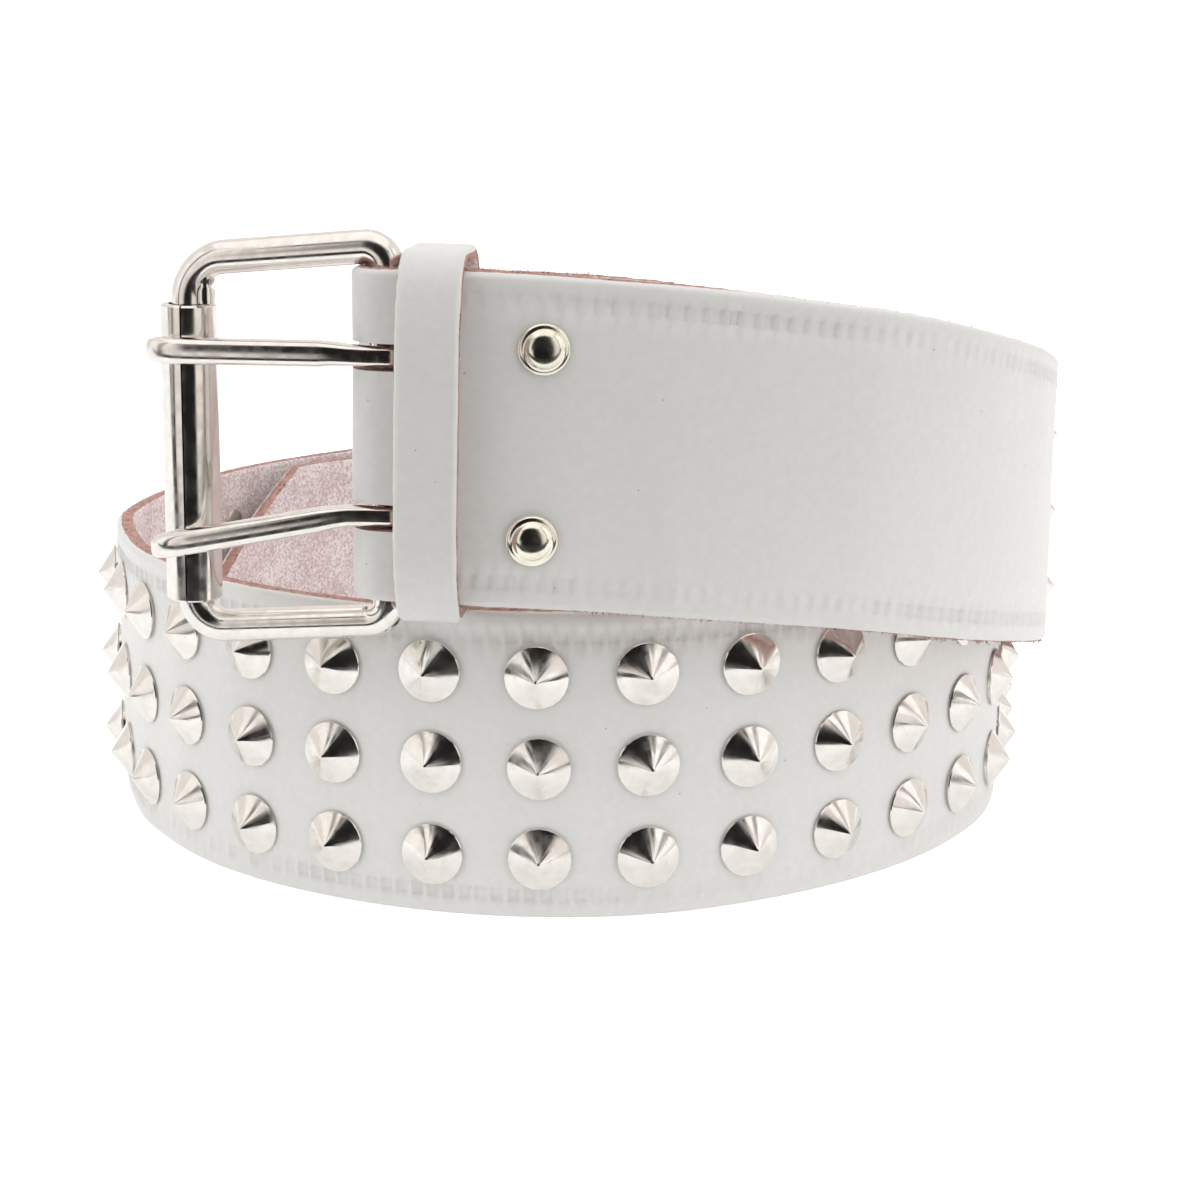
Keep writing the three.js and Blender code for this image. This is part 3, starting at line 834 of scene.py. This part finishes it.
def makeStub(bm):   # the wire's other end stands beside the bend, pinched by the pliers
    level = buckle["rollerLong"] / 2 - buckle["skew"] - buckle["rollerDrop"] + stub["clear"]
    place = Vector((buckle["long"] - stub["inset"], 0.3, level))
    up, last = Vector((0, 0, 1)), 1.0
    edges = startWire(bm, place, up, stub["radius"], stub["radius"], Vector((0, 1, 0)), 16)
    for (t0, _), (t1, wide) in zip(stub["pinch"], stub["pinch"][1:]):
        edges = runWire(bm, edges, up * stub["tall"] * (t1 - t0), wide / last)
        last = wide
    closeWire(bm, edges)


def makeFrame():
    bm = bmesh.new()
    top = buckle["tall"] / 2 - buckle["wire"]
    long, r1, r2 = buckle["long"], buckle["rollerBend"], buckle["barBend"]
    y = Vector((0, 1, 0))
    up, left = Vector((0, 0, 1)), Vector((-1, 0, 0))
    edges = startWire(bm, Vector((long, 0, 0.3)), up, buckle["wire"], buckle["wire"], y, 28)
    edges = runWire(bm, edges, up * (top - r1 - 0.3))
    edges = turnWire(bm, edges, Vector((long - r1, 0, top - r1)), y, -math.pi / 2, 12)
    edges = runWire(bm, edges, left * (long - r1 - r2))
    edges = turnWire(bm, edges, Vector((r2, 0, top - r2)), y, -math.pi / 2, 10)
    edges = runWire(bm, edges, -up * (2 * top - 2 * r2))
    edges = turnWire(bm, edges, Vector((r2, 0, -top + r2)), y, -math.pi / 2, 10)
    edges = runWire(bm, edges, -left * (long - r1 - r2))
    edges = turnWire(bm, edges, Vector((long - r1, 0, -top + r1)), y, -math.pi / 2, 12)
    edges = runWire(bm, edges, up * (top - r1 - 0.3))
    closeWire(bm, edges)
    for vert in bm.verts:
        vert.co.z -= slant(vert.co.x / mm) * mm
    makeStub(bm)
    bmesh.ops.transform(bm, matrix=buckleMatrix(), verts=bm.verts)
    finishPiece(bm, "frameWire", "frame", [nickel], angle=60, replaces=["buckle_frame"])


def makeRoller():
    bm = bmesh.new()
    outer, half = buckle["rollerRadius"], buckle["rollerLong"] / 2
    inner = outer - buckle["rollerWall"]
    corners = [(inner, -half), (outer - 0.3, -half), (outer, -half + 0.3), (outer, half - 0.3),
               (outer - 0.3, half), (inner, half)]
    verts = [bm.verts.new((r * mm, 0, h * mm)) for r, h in corners]
    face = bm.faces.new(verts)
    open_ = math.radians(3.5)   # the sheet's two edges meet at a seam
    bmesh.ops.spin(bm, geom=[face] + list(face.edges) + verts, cent=(0, 0, 0), axis=(0, 0, 1),
                   angle=2 * math.pi - open_, steps=64)
    seam = Matrix.Rotation(math.radians(buckle["seam"]), 3, "Z")
    bmesh.ops.rotate(bm, verts=bm.verts, cent=(0, 0, 0), matrix=seam)
    bmesh.ops.translate(bm, verts=bm.verts,
                        vec=Vector((buckle["long"], 0, -buckle["skew"] - buckle["rollerDrop"])) * mm)
    bmesh.ops.transform(bm, matrix=buckleMatrix(), verts=bm.verts)
    finishPiece(bm, "rollerSleeve", "roller", [nickel], angle=40, replaces=["roller"])


prongRun = [
    # share of the reach, depth and width as shares of the wire, bend back over the roller
    (0.06, 0.75, 0.76, 0), (0.13, 0.88, 0.8, 0), (0.19, 0.96, 0.86, 0), (0.25, 1.0, 0.96, 0),
    (0.5, 1.0, 0.96, 0), (0.8, 1.0, 0.96, 0), (0.86, 1.0, 0.97, 0.06), (0.92, 0.98, 0.97, 0.35),
    (0.96, 0.9, 0.92, 0.75), (0.985, 0.74, 0.78, 1.05), (0.998, 0.42, 0.46, 1.2),
]


def makeProng(name, side):
    bm = bmesh.new()
    turn = buckle["wire"] + strap["gap"] + buckle["prongRing"]
    level = side * strap["prongPitch"] / 2 + buckle["drop"]
    rest = buckle["rollerRadius"] + buckle["prong"] + strap["gap"]
    begin = math.radians(262)
    place = Vector((-math.sin(begin) * turn, math.cos(begin) * turn, level))
    heading = Vector((math.cos(begin), math.sin(begin), 0))
    z = Vector((0, 0, 1))
    edges = startWire(bm, place, heading, buckle["prongRoot"], buckle["prongRing"], z, 28, 0.66)
    edges = turnWire(bm, edges, Vector((0, 0, level)), z, -begin, 20)
    reach = buckle["prongReach"]
    last = Vector((0, turn, level))
    oldDeep, oldWide = buckle["prongRing"] / buckle["prong"], buckle["prongRoot"] / buckle["prong"]
    for share, deep, wide, back in prongRun:
        x = reach * share
        spotNow = Vector((x, turn + (rest - turn) * min(x / buckle["long"], 1) - back,
                          level + side * buckle["prongSplay"] * max(x - 4, 0) / (reach - 4) - slant(x)))
        edges = runWire(bm, edges, spotNow - last)
        ring = list({v for e in edges for v in e.verts})
        middle = sum((v.co for v in ring), Vector()) / len(ring)
        swell = (1, deep / oldDeep, wide / oldWide)
        bmesh.ops.scale(bm, vec=swell, verts=ring, space=Matrix.Translation(-middle))
        last, oldDeep, oldWide = spotNow, deep, wide
    closeWire(bm, edges)
    bmesh.ops.transform(bm, matrix=buckleMatrix(), verts=bm.verts)
    node = "prong_upper" if side > 0 else "prong_lower"
    finishPiece(bm, name, node, [nickel], angle=60, replaces=[node])


makeFrame()
makeRoller()
makeProng("prongUpper", 1)
makeProng("prongLower", -1)

# loose fibres on the cut edges

fibres = {
    # run from, run to, edge, count, length mm, lean outward
    "underFront": (22, 205, -1, 900, 0.85, 0.15),
    "overFront": (48, 205, 1, 130, 0.6, 0.0),
    "overCoil": (205, 500, 1, 420, 0.5, 0.0),
    "overTail": (500, 790, 1, 520, 0.55, 0.0),
    "underTail": (640, 790, -1, 60, 0.5, 0.0),
    "foldUnder": (-58, -22, -1, 200, 0.9, 0.0),
    "foldOver": (-58, -22, 1, 200, 0.9, 0.0),
}


def makeFibres():
    whole, end = bmesh.new(), strapLength - strap["tip"]
    for k, (first, last, edge, count, long, lean) in enumerate(fibres.values()):
        bm, group = bmesh.new(), bpy.data.meshes.new("fibreGroup")
        for i in range(count):
            wander = [noise.noise(Vector((i * 3.3 + 0.4, k * 7.7, j * 5.1))) for j in range(6)]
            run = first + (min(last, end) - first) * (i + 0.5 + 1.6 * wander[0]) / count
            tuft = max(noise.noise(Vector((run * 0.16, k * 11.3, 3))) + 0.35, 0)
            if tuft < 0.06:
                continue
            _, along, out, up = station(max(run, 0))
            size = long * (0.35 + 1.5 * abs(wander[1])) * (0.5 + 1.2 * tuft)
            heading = (up * edge + along * 1.6 * wander[2] + out * (1.2 * wander[3] + lean)).normalized()
            side = min(max(0.5 + 1.3 * wander[4], 0.05), 0.95)
            place = strapPlace(run, 24.95 * edge, side) / mm - heading * 0.1
            bend = (along * wander[5] * 1.6 + out * wander[4] * 1.4) * size * 0.4
            edges = startWire(bm, place, heading, 0.09, 0.09, heading.orthogonal().normalized(), 3)
            edges = runWire(bm, edges, heading * size * 0.5 + bend * 0.25, 0.85)
            edges = runWire(bm, edges, heading * size * 0.5 + bend, 0.45)
            closeWire(bm, edges)
        bm.to_mesh(group)
        bm.free()
        whole.from_mesh(group)
        bpy.data.meshes.remove(group)
    finishPiece(whole, "edgeFibres", "strap", [rawEdge], angle=60)


makeFibres()

# floor

floor = {
    "wide": 6.0, "front": -0.31, "back": 3.0, "tableEnd": -0.182,
    "colour": (0.9, 0.9, 0.895), "gap": (0.01, 0.01, 0.012), "glow": 0.25, "cameraGlow": 0.45,
}


def makeFloor():
    bm = bmesh.new()
    bmesh.ops.create_grid(bm, x_segments=1, y_segments=1, size=floor["wide"] / 2)
    for vert in bm.verts:
        vert.co.y = floor["front"] if vert.co.y < 0 else floor["back"]
    mesh = bpy.data.meshes.new("floor")
    bm.to_mesh(mesh)
    bm.free()
    material = bpy.data.materials.new("floorWhite")
    material.use_nodes = True
    nodes, links = material.node_tree.nodes, material.node_tree.links
    shader = nodes["Principled BSDF"]
    shader.inputs["Roughness"].default_value = 0.9
    shader.inputs["Emission Color"].default_value = (1, 1, 1, 1)
    ray, where, parts = (nodes.new(kind) for kind in
                         ("ShaderNodeLightPath", "ShaderNodeTexCoord", "ShaderNodeSeparateXYZ"))
    links.new(where.outputs["Object"], parts.inputs[0])
    table, seen, glow, tone = (nodes.new("ShaderNodeMath") for _ in range(4))
    for node, kind in ((table, "GREATER_THAN"), (seen, "MAXIMUM"), (glow, "MULTIPLY_ADD"), (tone, "MULTIPLY")):
        node.operation = kind
    links.new(parts.outputs["Y"], table.inputs[0])
    # a dark gap in front of the table shows in the metal only
    table.inputs[1].default_value = floor["tableEnd"]
    links.new(table.outputs[0], seen.inputs[0])
    links.new(ray.outputs["Is Camera Ray"], seen.inputs[1])
    links.new(ray.outputs["Is Camera Ray"], glow.inputs[0])
    glow.inputs[1].default_value = floor["cameraGlow"]
    glow.inputs[2].default_value = floor["glow"]
    links.new(glow.outputs[0], tone.inputs[0])
    links.new(seen.outputs[0], tone.inputs[1])
    links.new(tone.outputs[0], shader.inputs["Emission Strength"])   # burnt out white, as on a lit table
    mix = nodes.new("ShaderNodeMix")
    mix.data_type = "RGBA"
    mix.inputs["A"].default_value = (*floor["gap"], 1)
    mix.inputs["B"].default_value = (*floor["colour"], 1)
    links.new(seen.outputs[0], mix.inputs["Factor"])
    links.new(mix.outputs["Result"], shader.inputs["Base Color"])
    mesh.materials.append(material)
    piece = bpy.data.objects.new("floor", mesh)
    bpy.context.scene.collection.objects.link(piece)


makeFloor()
bpy.context.scene.view_settings.view_transform = "Standard"
